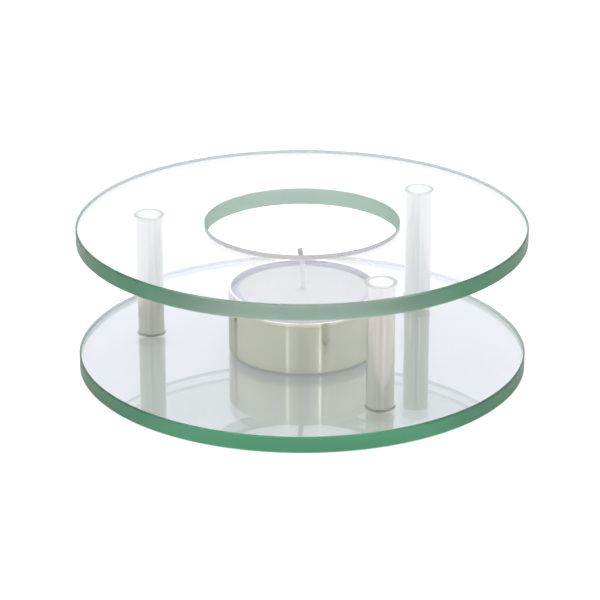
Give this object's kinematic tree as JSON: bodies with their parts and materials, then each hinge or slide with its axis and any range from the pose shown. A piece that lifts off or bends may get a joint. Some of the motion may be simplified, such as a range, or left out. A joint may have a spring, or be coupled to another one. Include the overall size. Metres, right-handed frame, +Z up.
{
  "type": "teapot warmer",
  "caption": "Round glass teapot warmer: clear plates held apart by bonded metal posts, with a tealight on the lower plate under the hole in the upper one.",
  "frame": {"origin": "middle of the lower plate's underside, on the surface that the warmer stands on", "axes": "+Z up through the flame hole, -Y towards the viewer, +X to the right"},
  "size_m": [0.12, 0.12, 0.04],
  "materials": {
    "glass": "clear float glass with a green tint at its ground and polished edges",
    "post_steel": "turned and polished",
    "adhesive": "clear, cured",
    "cup_sheet": "bright drawn sheet",
    "wax": "white paraffin wax",
    "wick": "braided cotton, waxed",
    "tab_sheet": "tinned sheet"
  },
  "bodies": {
    "root": {"base_plate": "glass", "top_plate": "glass", "post_left": "post_steel", "post_back": "post_steel", "post_front": "post_steel", "adhesive_left_foot": "adhesive", "adhesive_back_foot": "adhesive", "adhesive_front_foot": "adhesive", "adhesive_left_top": "adhesive", "adhesive_back_top": "adhesive", "adhesive_front_top": "adhesive", "tealight_cup": "cup_sheet", "wax": "wax", "wick": "wick", "wick_tab": "tab_sheet"}
  },
  "joints": []
}
